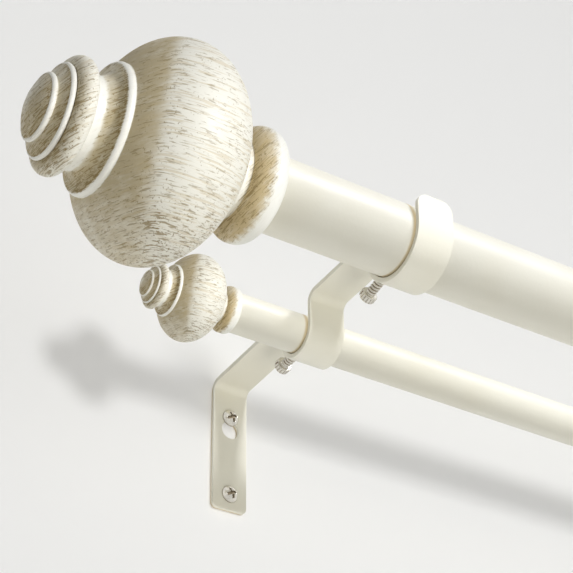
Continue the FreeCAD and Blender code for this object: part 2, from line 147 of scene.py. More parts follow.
class WallScrewSizes(PropertyGroup):
    """Sizes of the pan-head screws that go into the wall."""
    head_r: length_property("Head Radius", "Outer radius of the head", 0.0037)
    head_h: length_property("Head Height", "Height of the head", 0.0025)
    rim_h: length_property("Rim Height", "Height of the head's straight rim", 0.0005)
    neck_r: length_property("Neck Radius", "Radius of the plain neck in the plate", 0.0018)
    neck_length: length_property("Neck Length", "Length of the plain neck", 0.0021)
    crest_r: length_property("Crest Radius", "Outer radius of the thread", 0.002)
    core_r: length_property("Core Radius", "Radius between the thread's ridges", 0.0013)
    pitch: length_property("Pitch", "Distance from one thread ridge to the next", 0.0018)
    point: length_property("Point", "Length of the point", 0.005)
    drive_reach: length_property("Drive Reach", "Half the span of the cross recess", 0.0023)
    drive_width: length_property("Drive Width", "Width of each arm of the cross recess", 0.0012)
    drive_depth: length_property("Drive Depth", "Depth of the cross recess", 0.0015)


class PoleFinishes(PropertyGroup):
    """Colours of the paints, the resin, its glaze and the metals."""
    ivory: colour_property("Ivory Paint", "Stove paint of tubes and brackets", (0.82, 0.80, 0.70))
    cream: colour_property("Cream Resin", "Body colour of the finials", (0.84, 0.82, 0.725))
    wiped: colour_property("Wiped Resin", "Raised rims wiped clean of glaze", (0.88, 0.87, 0.80))
    olive: colour_property("Olive Glaze", "Thin glaze on ball, flange and button", (0.46, 0.37, 0.195))
    # Gold glaze also gives the colour of the lines of painted shade on tubes and brackets.
    gold: colour_property("Gold Glaze", "Thicker glaze on the back of the collar", (0.54, 0.41, 0.19))
    umber: colour_property("Umber Glaze", "Glaze where it fills the grain", (0.26, 0.18, 0.055))
    nickel: colour_property("Nickel", "Plated screws", (0.80, 0.77, 0.69))
    # Painted shade: the brown in the screws' recesses and round the foot of their heads, where it is also a
    # painted dark reflection.
    painted_shade: colour_property("Grime", "Brown film in the recesses of screws", (0.15, 0.10, 0.035))
    zinc: colour_property("Zinc", "Studs inside the finials", (0.60, 0.60, 0.60))
    plug: colour_property("Plug Plastic", "Plugs in the tube ends", (0.72, 0.71, 0.67))
    wall: colour_property("Wall", "Wall behind the poles", (0.955, 0.955, 0.95))
    floor: colour_property("Floor", "Floor below the poles", (0.88, 0.875, 0.86))


class PoleSettings(PropertyGroup):
    """Everything that can be set on the double curtain pole."""
    front: PointerProperty(type=FrontFinialSizes)
    rear: PointerProperty(type=RearFinialSizes)
    lock_screw: PointerProperty(type=LockScrewSizes)
    wall_screw: PointerProperty(type=WallScrewSizes)
    finishes: PointerProperty(type=PoleFinishes)


class Value:
    """A shader socket used in Python sums: each operator adds one Math node."""

    def __init__(self, graph, socket):
        self.graph = graph
        self.socket = socket

    def math(self, operation, first, second):
        return self.graph.add("ShaderNodeMath", {"operation": operation}, {0: first, 1: second})

    def __add__(self, other):
        return self.math("ADD", self, other)

    def __sub__(self, other):
        return self.math("SUBTRACT", self, other)

    def __rsub__(self, other):
        return self.math("SUBTRACT", other, self)

    def __mul__(self, other):
        return self.math("MULTIPLY", self, other)

    def __abs__(self):
        return self.math("ABSOLUTE", self, 0.0)

    __radd__ = __add__
    __rmul__ = __mul__


class Graph:
    """A node tree that is filled by one method."""

    def __init__(self, tree):
        self.tree = tree
        self.tree.nodes.clear()

    def add(self, kind, settings=None, sockets=None, output=0):
        """Adds a node: its settings first, then the values or links of its sockets."""
        node = self.tree.nodes.new(kind)
        for name, value in (settings or {}).items():
            setattr(node, name, value)
        for key, value in (sockets or {}).items():
            if isinstance(value, Value):
                self.tree.links.new(value.socket, node.inputs[key])
            else:
                node.inputs[key].default_value = value
        return Value(self, node.outputs[output]) if len(node.outputs) else None

    def mix(self, factor, first, second):
        """One colour turned into another by a factor."""
        return self.add("ShaderNodeMix", {"data_type": "RGBA"}, {0: factor, 6: first, 7: second}, 2)

    def ease(self, value, low, high):
        """0 below low, 1 above high, smooth between."""
        settings = {"interpolation_type": "SMOOTHSTEP"}
        return self.add("ShaderNodeMapRange", settings, {0: value, 1: low, 2: high})

    def noise(self, place, scale, detail=2.0, roughness=0.5):
        """Cloud noise between 0 and 1."""
        sockets = {"Vector": place, "Scale": scale, "Detail": detail, "Roughness": roughness}
        return self.add("ShaderNodeTexNoise", None, sockets)

    def stretched(self, place, factors):
        """Coordinates multiplied along each axis."""
        return self.add("ShaderNodeVectorMath", {"operation": "MULTIPLY"}, {0: place, 1: factors})

    def object_place(self):
        """Place on the object in metres."""
        return self.add("ShaderNodeTexCoord", output=3)

    def weight(self, name):
        """A number stored on the mesh points."""
        return self.add("ShaderNodeAttribute", {"attribute_name": name}, output=2)

    def direction(self, name):
        """Three numbers stored on the mesh points."""
        return self.add("ShaderNodeAttribute", {"attribute_name": name}, output=1)

    def bump(self, height, strength, distance):
        """A surface normal tipped by a height."""
        sockets = {"Strength": strength, "Distance": distance, "Height": height}
        return self.add("ShaderNodeBump", None, sockets)


def opaque(colour):
    """A colour with full alpha."""
    return (*colour, 1.0)


def darker(colour, *shares):
    """A colour with full alpha whose parts are multiplied by their shares, or all by one share."""
    return opaque(part * share for part, share in zip(colour, shares * 3))


def new_material(name):
    """An empty node material and its graph."""
    material = bpy.data.materials.new(name)
    material.use_nodes = True
    return material, Graph(material.node_tree)


def close_material(graph, sockets):
    """Ends a graph with a principled surface."""
    surface = graph.add("ShaderNodeBsdfPrincipled", None, sockets)
    graph.add("ShaderNodeOutputMaterial", None, {"Surface": surface})


# Noise scales are cycles to the metre; widths and heights are metres. A share is what is left of a colour
# in its darker places.
PAINT_CLOUDS, PAINT_FINE, PAINT_PEEL = 26.0, 160.0, 750.0
PAINT_CLOUD_BAND = (0.35, 0.7)
PAINT_CLOUD_SHARES = (0.965, 0.955, 0.93)
PAINT_ROUGHNESS, PAINT_ROUGHNESS_SPREAD = 0.36, 0.12
PEEL_STRENGTH, PEEL_HEIGHT = 0.10, 0.0004
# Line of painted shade where a part meets another: how far it wanders, where it fades out, and how much it
# covers.
SHADE_LINE_WANDER = 0.0004
SHADE_LINE_BAND = (0.0003, 0.0013)
SHADE_LINE_COVER = 0.72


def ivory_paint(name, colour, painted_shade=None, shade_axis="X", shade_at=0.0):
    """Satin stove paint: faint clouds in the colour, orange peel, uneven gloss.

    Where a shade colour is given, a thin line of painted shade in it lies at the given distance along the
    axis, on either side of the middle.
    """
    material, graph = new_material(name)
    place = graph.object_place()
    clouds = graph.ease(graph.noise(place, PAINT_CLOUDS, detail=3.0), *PAINT_CLOUD_BAND)
    peel = graph.noise(place, PAINT_PEEL, detail=1.0)
    fine = graph.noise(place, PAINT_FINE, detail=3.0)
    base = graph.mix(clouds, opaque(colour), darker(colour, *PAINT_CLOUD_SHARES))
    # Painted shade: a thin dark line standing in for the shade where the part meets a bracket or the wall.
    if painted_shade is not None:
        along = graph.add("ShaderNodeSeparateXYZ", None, {0: place}, shade_axis)
        away = abs(along) + (fine - 0.5) * SHADE_LINE_WANDER - shade_at
        line = 1 - graph.ease(abs(away), *SHADE_LINE_BAND)
        base = graph.mix(line * SHADE_LINE_COVER, base, opaque(painted_shade))
    close_material(graph, {
        "Base Color": base,
        "Roughness": PAINT_ROUGHNESS + fine * PAINT_ROUGHNESS_SPREAD,
        "Normal": graph.bump(peel, PEEL_STRENGTH, PEEL_HEIGHT),
    })
    return material


# Strokes are so many to the metre across, with so many breaks to the metre along. A band is where a noise
# goes from none to full, a cover the share of the colour below that is hidden.
WIPE_EDGE, WIPE_WANDER, WIPE_BAND = 380.0, 0.9, (0.30, 0.80)
WIPE_TAKEN, WIPE_COVER = 0.9, 0.85
PATCHES, PATCH_BAND, PATCH_SHARE = 55.0, (0.34, 0.66), 0.22
LINE_STROKES, LINE_BAND, LINE_COVER = (1500.0, 75.0), (0.53, 0.62), 0.36
LINE_UNDER_GLAZE = 0.75
DASH_STROKES, DASH_BAND, DASH_CROWD = (1800.0, 240.0), (0.61, 0.70), 0.13
DASH_COVER, DASH_CROWD_COVER = 0.42, 0.46
SPECKS, SPECK_BAND, SPECK_CROWD = 1250.0, (0.68, 0.75), 0.10
SPECK_COVER, SPECK_CROWD_COVER = 0.46, 0.40
HAZE, HAZE_SHARE = 210.0, 0.8
FEATHER_STROKES = (560.0, 120.0)
WASH_LEAST, WASH_BAND, WASH_COVER = 0.1, (0.03, 1.0), 0.86
RESIN_ROUGHNESS, WASH_ROUGHNESS, WIPE_GLOSS = 0.50, 0.14, 0.08
MARK_DEPTH, LINE_DEPTH = 0.7, 0.5
RESIN_BUMP, RESIN_HEIGHT = 0.45, 0.0004


def antique_resin(name, finishes, fineness):
    """Cream resin with brown glaze brushed over it, left in the recesses and wiped off the raised rims.

    Strokes are noise stretched along the grain stored on the mesh, thickened by the hatch stored there.
    Their spacing goes down as fineness goes up.
    """
    material, graph = new_material(name)
    place = graph.object_place()
    grain = graph.direction("grain")
    glaze = graph.weight("glaze")
    hatch = graph.weight("hatch")
    turned = graph.weight("turned")

    # Rims are wiped by hand, so the wiped edge wanders.
    ragged = graph.noise(place, WIPE_EDGE * fineness, detail=3.0, roughness=0.65)
    wipe = graph.ease(graph.weight("wipe") + (ragged - 0.5) * WIPE_WANDER, *WIPE_BAND)
    kept = 1 - wipe * WIPE_TAKEN

    def strokes(across, along):
        """Noise with so many strokes to the metre across, and breaks to the metre along."""
        factors = (along * fineness, along * fineness, across * fineness)
        return graph.noise(graph.stretched(grain, factors), 1.0)

    patches = graph.ease(graph.noise(place, PATCHES * fineness), *PATCH_BAND)
    crowd = patches * PATCH_SHARE + hatch * (1 - PATCH_SHARE)
    lines = graph.ease(strokes(*LINE_STROKES), *LINE_BAND) * kept * (1 - glaze * LINE_UNDER_GLAZE)
    dashes = graph.ease(strokes(*DASH_STROKES) + crowd * DASH_CROWD, *DASH_BAND) * kept
    spots = graph.noise(place, SPECKS * fineness, detail=1.5)
    specks = graph.ease(spots + crowd * SPECK_CROWD, *SPECK_BAND) * kept
    haze = graph.noise(place, HAZE * fineness, detail=3.0)
    feather = strokes(*FEATHER_STROKES)
    # Where the ball is past its crest, the glaze weight also carries painted shade.
    wash = graph.ease(glaze * (WASH_LEAST + haze * HAZE_SHARE + feather), *WASH_BAND) * kept

    tint = graph.mix(turned, opaque(finishes.olive), opaque(finishes.gold))
    colour = graph.mix(wash * WASH_COVER, opaque(finishes.cream), tint)
    colour = graph.mix(wipe * WIPE_COVER, colour, opaque(finishes.wiped))
    colour = graph.mix(lines * LINE_COVER, colour, opaque(finishes.gold))
    dashed = dashes * (DASH_COVER + crowd * DASH_CROWD_COVER)
    colour = graph.mix(dashed, colour, opaque(finishes.umber))
    speckled = specks * (SPECK_COVER + crowd * SPECK_CROWD_COVER)
    colour = graph.mix(speckled, colour, opaque(finishes.umber))

    height = 1 - dashes * MARK_DEPTH - specks * MARK_DEPTH - lines * LINE_DEPTH
    close_material(graph, {
        "Base Color": colour,
        "Roughness": RESIN_ROUGHNESS + wash * WASH_ROUGHNESS - wipe * WIPE_GLOSS,
        "Normal": graph.bump(height, RESIN_BUMP, RESIN_HEIGHT),
    })
    return material


METAL_TONE, METAL_TONE_BAND = 420.0, (0.3, 0.75)
ZINC_ROUGHNESS, ZINC_SHARE = 0.30, 0.86
BRUSH_MARKS, BRUSH_SPREAD, BRUSH_BUMP = (900.0, 2600.0, 900.0), 0.10, 0.06
NICKEL_ROUGHNESS, NICKEL_SHARE = 0.22, 0.80
SCREW_MARKS, SCREW_SPREAD, SCREW_BUMP = 1500.0, 0.08, 0.05
# Painted shade in the screws' recesses: how it wanders, where it fades in, how much it covers, and how much
# it roughens and dulls the metal.
RECESS_SHADE_WANDER, RECESS_SHADE_BAND, RECESS_SHADE_COVER = 0.5, (0.25, 0.85), 0.85
RECESS_SHADE_ROUGHNESS, RECESS_SHADE_DULLING = 0.25, 0.6
PLASTIC_ROUGHNESS, PLASTIC_SHARE, PLASTIC_TONE = 0.48, 0.93, 90.0
PLASTIC_TEXTURE, PLASTIC_SPREAD, PLASTIC_BUMP = 1600.0, 0.12, 0.12
FINE_HEIGHT = 0.0001


def stud_zinc(name, colour):
    """Zinc plate with faint brush marks in its gloss."""
    material, graph = new_material(name)
    place = graph.object_place()
    marks = graph.noise(graph.stretched(place, BRUSH_MARKS), 1.0)
    tone = graph.ease(graph.noise(place, METAL_TONE), *METAL_TONE_BAND)
    close_material(graph, {
        "Base Color": graph.mix(tone, opaque(colour), darker(colour, ZINC_SHARE)),
        "Metallic": 1.0,
        "Roughness": ZINC_ROUGHNESS + marks * BRUSH_SPREAD,
        "Normal": graph.bump(marks, BRUSH_BUMP, FINE_HEIGHT),
    })
    return material


def screw_nickel(name, finishes):
    """Bright nickel, darkened by brown painted shade in the recesses stored on the mesh."""
    material, graph = new_material(name)
    place = graph.object_place()
    marks = graph.noise(place, SCREW_MARKS)
    recess_shade = graph.ease(graph.weight("recess") + (marks - 0.5) * RECESS_SHADE_WANDER, *RECESS_SHADE_BAND)
    tone = graph.ease(graph.noise(place, METAL_TONE), *METAL_TONE_BAND)
    plate = graph.mix(tone, opaque(finishes.nickel), darker(finishes.nickel, NICKEL_SHARE))
    close_material(graph, {
        "Base Color": graph.mix(recess_shade * RECESS_SHADE_COVER, plate, opaque(finishes.painted_shade)),
        "Metallic": 1 - recess_shade * RECESS_SHADE_DULLING,
        "Roughness": NICKEL_ROUGHNESS + marks * SCREW_SPREAD + recess_shade * RECESS_SHADE_ROUGHNESS,
        "Normal": graph.bump(marks, SCREW_BUMP, FINE_HEIGHT),
    })
    return material


def moulded_plastic(name, colour):
    """Plain moulded plastic with a fine spark-eroded texture."""
    material, graph = new_material(name)
    place = graph.object_place()
    texture = graph.noise(place, PLASTIC_TEXTURE, detail=1.0)
    tone = graph.noise(place, PLASTIC_TONE)
    close_material(graph, {
        "Base Color": graph.mix(tone, opaque(colour), darker(colour, PLASTIC_SHARE)),
        "Roughness": PLASTIC_ROUGHNESS + texture * PLASTIC_SPREAD,
        "Normal": graph.bump(texture, PLASTIC_BUMP, FINE_HEIGHT),
    })
    return material


def straight_run(start, end, step):
    """Points from start towards end at about the step, the end left out."""
    start = np.array(start, float)
    end = np.array(end, float)
    count = max(2, math.ceil(np.linalg.norm(end - start) / step))
    share = np.arange(count)[:, None] / count
    return start + (end - start) * share


def round_run(centre, half_s, half_r, start_deg, end_deg, step):
    """Points on an ellipse arc, centre + (half_s cos t, half_r sin t), the end left out."""
    sweep = math.radians(end_deg - start_deg)
    count = max(4, math.ceil(abs(sweep) * max(half_s, half_r) / step))
    turn = math.radians(start_deg) + sweep * np.arange(count) / count
    return np.stack([centre[0] + half_s * np.cos(turn), centre[1] + half_r * np.sin(turn)], 1)


# Angles round a section: where the bead leaves the ball and its glazed foot begins, where the collar's
# glaze is full, and where the button's rim turns into its face. The wiped share is that of the flange.
BEAD_START_DEG, BEAD_FOOT_DEG = 120, 35
COLLAR_GLAZE_DEG = 45
RIM_TOP_DEG = 100
WIPED_SHARE = 0.25


def finial_section(size):
    """Half section of a finial, s along the pole from the tube's end and r the radius, with finish weights.

    Straight runs and arcs follow one another from the stud hole over collar, neck, ball, bead, flange,
    waist and button to the tip. Each run has start and end weights for glaze, wipe, turned and hatch.
    On the ball, glaze and hatch come from its crest instead.
    """
    step = size.mesh_step
    collar_end = size.collar_length
    pole_edge = (size.pole_round, size.collar_r - size.pole_round)
    ball_edge = (collar_end - size.ball_round, size.collar_r - size.ball_round)
    ball_start = collar_end + size.neck_length
    bead_foot_r = size.bead_r - size.bead_round
    start_deg = math.degrees(math.acos(size.neck_r / size.ball_r))
    bead_turn = math.radians(BEAD_START_DEG)
    ball_end_r = bead_foot_r + size.bead_round * math.sin(bead_turn)
    end_deg = math.degrees(math.acos(ball_end_r / size.ball_r))
    ball_s = ball_start + size.ball_half * math.sin(math.radians(start_deg))
    ball_end = ball_s + size.ball_half * math.sin(math.radians(end_deg))
    bead = (ball_end - size.bead_round * math.cos(bead_turn), bead_foot_r)
    waist_start = bead[0] + size.bead_round + size.flange_length
    rise = bead_foot_r - size.waist_r
    hollow_r = (size.flange_length ** 2 + rise ** 2) / (2 * rise)
    hollow_deg = math.degrees(math.atan2(size.flange_length, hollow_r - rise))
    hollow = (waist_start, size.waist_r + hollow_r)
    wiped_deg = hollow_deg * WIPED_SHARE
    waist_end = waist_start + size.waist_length
    button_end = waist_end + 2 * size.button_round
    rim = (waist_end + size.button_round, size.button_r - size.button_round)
    step_foot_r = size.step_r - size.ring_round
    step_end = button_end + 2 * size.ring_round
    ring_start = step_end + size.ring_rise
    ring_foot_r = size.ring_r - size.ring_round
    ring_end = ring_start + 2 * size.ring_round
    dome_r = (ring_foot_r ** 2 + size.tip_rise ** 2) / (2 * size.tip_rise)
    dome_deg = math.degrees(math.asin(ring_foot_r / dome_r))
    tip_s = ring_end + size.tip_rise

    def line(start, end, finer=1):
        return straight_run(start, end, step / finer)

    def arc(centre, radius, from_deg, to_deg, finer=1):
        return round_run(centre, radius, radius, from_deg, to_deg, step / finer)

    def ring(start_s, foot_r):
        return arc((start_s + size.ring_round, foot_r), size.ring_round, 180, 0, 2)

    plain = (0, 0)
    hole_end = (size.hole_depth, size.hole_r)
    runs = [
        (line((size.hole_depth, 0), hole_end), plain, plain, plain, plain),
        (line(hole_end, (0, size.hole_r), 0.25), plain, plain, plain, plain),
        (line((0, size.hole_r), (0, pole_edge[1])), plain, (0.5, 0.7), plain, plain),
        (arc(pole_edge, size.pole_round, 180, 90), (0.05, 0.05), (0.8, 0.9), plain, (0.1, 0.1)),
        (line((pole_edge[0], size.collar_r), (ball_edge[0], size.collar_r), 2),
         (0.05, 0.3), (0.9, 0.6), (0.3, 0.8), (0.1, 0.3)),
        (arc(ball_edge, size.ball_round, 90, COLLAR_GLAZE_DEG),
         (0.5, 1.0), (0.6, 0.1), (0.9, 1), (0.4, 0.6)),
        (arc(ball_edge, size.ball_round, COLLAR_GLAZE_DEG, 0), (1.0, 1.1), plain, (1, 1), (0.6, 0.8)),
        (line((collar_end, ball_edge[1]), (collar_end, size.neck_r), 4),
         (1.1, 1.1), plain, (1, 1), (0.8, 0.8)),
        (line((collar_end, size.neck_r), (ball_start, size.neck_r), 2),
         (0.4, 0), (0.2, 1.0), (1, 0), (0.3, 0)),
        (round_run((ball_s, 0), size.ball_half, size.ball_r, 90 + start_deg, 90, step),
         plain, (0.3, 0.0), plain, plain),
        (round_run((ball_s, 0), size.ball_half, size.ball_r, 90, 90 - end_deg, step),
         plain, plain, plain, plain),
        (arc(bead, size.bead_round, BEAD_START_DEG, BEAD_FOOT_DEG, 2),
         (0.4, 0.1), (0.8, 1.0), plain, (0.3, 0.1)),
        (arc(bead, size.bead_round, BEAD_FOOT_DEG, 0, 2), (0.5, 1.1), (0.5, 0.0), plain, (0.8, 1.3)),
        (arc(hollow, hollow_r, -90 - hollow_deg, -90 - wiped_deg, 2), (1.1, 0.8), plain, plain, (1.1, 0.5)),
        (arc(hollow, hollow_r, -90 - wiped_deg, -90, 2), (0.7, 0.1), (0.1, 0.9), plain, (0.6, 0)),
        (line((waist_start, size.waist_r), (waist_end, size.waist_r), 2),
         (0.2, 0.0), (0.7, 1.0), plain, (0.3, 0)),
        (line((waist_end, size.waist_r), (waist_end, rim[1]), 2), (0.2, 0.1), (0.8, 0.9), plain, plain),
        (arc(rim, size.button_round, 180, RIM_TOP_DEG), (0.05, 0.15), (0.9, 0.5), plain, (0.1, 0.4)),
        (arc(rim, size.button_round, RIM_TOP_DEG, 0), (0.2, 0.85), (0.25, 0.0), plain, (0.5, 0.9)),
        (line((button_end, rim[1]), (button_end, step_foot_r), 3), (0.85, 1.0), plain, plain, (0.9, 1.2)),
        (ring(button_end, step_foot_r), (0.3, 0.3), (0.78, 0.78), plain, (0.4, 0.4)),
        (line((step_end, step_foot_r), (ring_start, ring_foot_r), 2),
         (1.1, 0.7), plain, plain, (1.3, 0.35)),
        (ring(ring_start, ring_foot_r), (0.3, 0.3), (0.70, 0.70), plain, (0.4, 0.4)),
        (arc((tip_s - dome_r, 0), dome_r, dome_deg, 0), (1.0, 0.65), plain, plain, (1.2, 0.35)),
    ]
    points = np.concatenate([run[0] for run in runs] + [np.array([[tip_s, 0.0]])])
    weights = {}
    for column, name in enumerate(("glaze", "wipe", "turned", "hatch"), start=1):
        parts = [np.linspace(run[column][0], run[column][1], len(run[0])) for run in runs]
        weights[name] = np.concatenate(parts + [parts[-1][-1:]])
    return points, weights, (ball_start, ball_s, ball_end)


def turned_faces(rings, turns):
    """Corner indices of a turned grid with a point at each end: fan, quads, fan."""
    around = np.arange(turns)
    after = (around + 1) % turns
    first = np.stack([np.full(turns, rings * turns), after, around], 1)
    base = np.arange(rings - 1)[:, None] * turns
    quads = np.stack([base + around, base + after, base + turns + after, base + turns + around], -1)
    last_row = (rings - 1) * turns
    last = np.stack([np.full(turns, rings * turns + 1), last_row + around, last_row + after], 1)
    return [first, quads.reshape(-1, 4), last]


def mesh_from(name, points, face_groups):
    """A smooth mesh from points and groups of equal-sided faces, turned so that faces point outwards."""
    volume = 0.0
    for faces in face_groups:
        for corner in range(1, faces.shape[1] - 1):
            a, b, c = (points[faces[:, column]] for column in (0, corner, corner + 1))
            volume += np.einsum("ij,ij->i", a, np.cross(b, c)).sum()
    if volume < 0:
        face_groups = [faces[:, ::-1] for faces in face_groups]
    corners = np.concatenate([faces.ravel() for faces in face_groups]).astype(np.int32)
    sides = np.concatenate([np.full(len(faces), faces.shape[1]) for faces in face_groups])
    starts = np.concatenate([[0], np.cumsum(sides)[:-1]]).astype(np.int32)
    mesh = bpy.data.meshes.new(name)
    mesh.vertices.add(len(points))
    mesh.vertices.foreach_set("co", points.astype(np.float32).ravel())
    mesh.loops.add(len(corners))
    mesh.loops.foreach_set("vertex_index", corners)
    mesh.polygons.add(len(sides))
    mesh.polygons.foreach_set("loop_start", starts)
    mesh.polygons.foreach_set("use_smooth", np.ones(len(sides), bool))
    mesh.update(calc_edges=True)
    mesh.validate()
    return mesh


def store_weight(mesh, name, values):
    """Keeps one number for each mesh point."""
    attribute = mesh.attributes.new(name, "FLOAT", "POINT")
    attribute.data.foreach_set("value", values.astype(np.float32))


def store_direction(mesh, name, values):
    """Keeps three numbers for each mesh point."""
    attribute = mesh.attributes.new(name, "FLOAT_VECTOR", "POINT")
    attribute.data.foreach_set("vector", values.astype(np.float32).ravel())


def place_piece(mesh, node, material):
    """Links a new piece that stands for a node and moves with the node's body."""
    piece = bpy.data.objects.new(node + "_dressed", mesh)
    bpy.context.scene.collection.objects.link(piece)
    mesh.materials.append(material)
    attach(piece, frame["nodes"][node]["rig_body"])
    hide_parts(node)


def coat_node(node, material):
    """Gives a carried-over node its finish."""
    slots = frame["nodes"][node].data.materials
    slots.clear()
    slots.append(material)


# Brush strokes run along, lie above one another and reach in by these directions.
STROKE_ALONG = (0.833, -0.553, 0.0)
STROKE_UP = (-0.302, -0.454, 0.838)
STROKE_DEEP = (-0.464, -0.698, -0.545)
# They slant on the collar, and bend over a crest on the ball, which leans and lies off the middle. Its
# lengths are shares of the ball's radius.
COLLAR_SLANT = 0.9
CREST_LEAN = 0.17
CREST_SHIFT = 0.09
CREST_SLOPE = 0.28
CREST_ROUND = 0.004
CREST_CURL = 0.17
CREST_WIDTH = 0.13
# Glaze and hatch all over the ball, past its crest, on its crest and below. Past the crest the glaze is
# partly olive glaze and partly painted shade on the ball's side turned from the light.
PAST_BAND = (-0.08, 0.16)
BELOW_BAND = (0.2, 0.7)
BALL_GLAZE, PAST_GLAZE_AND_SHADE, BELOW_GLAZE = 0.04, 0.84, 0.10
BELOW_THINNED = 0.5
BALL_HATCH, PAST_HATCH, CREST_HATCH, BELOW_HATCH = 0.10, -0.06, 0.26, 0.40
# Elsewhere both are heaviest at this turn round the pole, and lighter by this share across from it.
HEAVY_TURN = math.radians(250.0)
HEAVY_SHARE = 0.55
FRONT_TURNS = 232
REAR_TURNS = 168
REAR_FINENESS = 1.5


def smooth(values, low, high):
    """0 below low, 1 above high, smooth between."""
    share = np.clip((values - low) / (high - low), 0, 1)
    return share * share * (3 - 2 * share)


class CURTAINPOLE_OT_turn_finials(Operator):
    """Turn the finials: the half section is carried round the pole's axis"""
    bl_idname = "curtainpole.turn_finials"
    bl_label = "Turn Finials"

    def execute(self, context):
        settings = context.scene.curtain_pole
        jobs = (("front", FRONT_TURNS, 1.0), ("rear", REAR_TURNS, REAR_FINENESS))
        for pole, turns, fineness in jobs:
            size = getattr(settings, pole)
            material = antique_resin(f"{pole}_finial_resin", settings.finishes, fineness)
            section, weights, ball = finial_section(size)
            for side_name, side in SIDES.items():
                node = f"{pole}_finial_{side_name}"
                low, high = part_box(node)
                face_x = high.x if side < 0 else low.x
                axis = ((low.y + high.y) / 2, (low.z + high.z) / 2)
                mesh = self.turn(node, section, weights, ball, size.ball_r, face_x, side, axis, turns)
                place_piece(mesh, node, material)
        return {"FINISHED"}

    @staticmethod
    def turn(node, section, weights, ball, ball_r, face_x, side, axis, turns):
        """Point (s, r) of the section goes to face + side s along X and to r (cos t, sin t) across.

        Strokes climb to a crest on the ball and fall away beyond it, and the ball is darker past the crest,
        with olive glaze and with painted shade.
        """
        inner = section[1:-1]
        angle = 2 * np.pi * (np.arange(turns) + 0.5) / turns
        s, t = np.meshgrid(inner[:, 0], angle, indexing="ij")
        r = np.broadcast_to(inner[:, 1:2], s.shape)
        grid = np.stack([face_x + side * s, axis[0] + r * np.cos(t), axis[1] + r * np.sin(t)], -1)
        ends = np.array([[face_x + side * point[0], *axis] for point in (section[0], section[-1])])
        points = np.concatenate([grid.reshape(-1, 3), ends])
        mesh = mesh_from(node + "_dressed", points, turned_faces(len(inner), turns))

        ball_start, ball_s, ball_end = ball
        s = np.concatenate([s.ravel(), section[[0, -1], 0]])
        own = np.stack([ball_s - s, points[:, 1] - axis[0], points[:, 2] - axis[1]], -1)
        along, up, deep = (own @ np.array(way) for way in (STROKE_ALONG, STROKE_UP, STROKE_DEEP))
        past = (along - CREST_LEAN * up) / ball_r - CREST_SHIFT
        bend = CREST_SLOPE * np.sqrt(past ** 2 + CREST_ROUND) + CREST_CURL * np.abs(past) ** 3
        level = np.where(s < ball_start, up - COLLAR_SLANT * along, up + ball_r * bend)
        store_direction(mesh, "grain", np.stack([along, deep, level], -1))

        # Past the crest: partly olive glaze, partly painted shade of the side turned from the light.
        beyond = smooth(-past, *PAST_BAND)
        below = smooth(-up / ball_r, *BELOW_BAND)
        crest = np.exp(-(past / CREST_WIDTH) ** 2)
        thinned = 1 - BELOW_THINNED * below
        on_ball = {
            "glaze": BALL_GLAZE + PAST_GLAZE_AND_SHADE * beyond * thinned + BELOW_GLAZE * below,
            "hatch": BALL_HATCH + PAST_HATCH * beyond + CREST_HATCH * crest + BELOW_HATCH * below,
        }
        turn = np.concatenate([t.ravel(), [HEAVY_TURN, HEAVY_TURN]])
        heavy = 1 - HEAVY_SHARE * (0.5 - 0.5 * np.cos(turn - HEAVY_TURN))
        for name, values in weights.items():
            field = np.concatenate([np.repeat(values[1:-1], turns), values[[0, -1]]])
            if name in on_ball:
                field = np.where((s > ball_start) & (s < ball_end), on_ball[name], field * heavy)
            store_weight(mesh, name, field)
        return mesh


class CURTAINPOLE_OT_paint_tubes(Operator):
    """Paint the outer and inner tubes of both poles, with a line of painted shade where they leave the
    brackets
    """
    bl_idname = "curtainpole.paint_tubes"
    bl_label = "Paint Tubes"

    def execute(self, context):
        finishes = context.scene.curtain_pole.finishes
        bracket_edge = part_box("bracket_right")[1].x
        # Painted shade in the gold glaze colour on the outer tubes, at the brackets' edges.
        marked = ivory_paint("pole_paint", finishes.ivory, finishes.gold, "X", bracket_edge)
        plain = ivory_paint("inner_pole_paint", finishes.ivory)
        for pole in POLES:
            coat_node(f"{pole}_outer_tube", marked)
            coat_node(f"{pole}_inner_tube", plain)
        return {"FINISHED"}


class CURTAINPOLE_OT_paint_brackets(Operator):
    """Paint the two bent strip brackets, with a line of painted shade along the edges next to the wall"""
    bl_idname = "curtainpole.paint_brackets"
    bl_label = "Paint Brackets"

    def execute(self, context):
        finishes = context.scene.curtain_pole.finishes
        # Painted shade in the gold glaze colour along the edges next to the wall.
        material = ivory_paint("bracket_paint", finishes.ivory, finishes.gold, "Y")
        for side_name in SIDES:
            coat_node(f"bracket_{side_name}", material)
        return {"FINISHED"}


SCREW_TURNS = 120
SCREW_STEP = 0.00022
ROWS_TO_PITCH = 9
CUT_SOFTNESS = 0.00006
DRIVE_TURN = math.radians(25.0)
RIDGE_HALF = 0.24
# How much painted shade lies in grooves, between knurls, in the slot, under a head and between thread
# ridges; under a head it is also a painted dark reflection.
GROOVE_SHADE, KNURL_SHADE, SLOT_SHADE = 0.9, 0.7, 0.8
FOOT_SHADE, CORE_SHADE = 0.8, 0.35


def inside(distance, half):
    """1 nearer than half, 0 further away, smooth over the softness of a cut edge."""
    return smooth(half - np.abs(distance), -CUT_SOFTNESS, CUT_SOFTNESS)


def chained_runs(corners, steps):
    """Straight runs through the corners, each with its own step, and the last corner."""
    parts = [straight_run(a, b, step) for a, b, step in zip(corners, corners[1:], steps)]
    return np.concatenate(parts + [np.array([corners[-1]], float)])


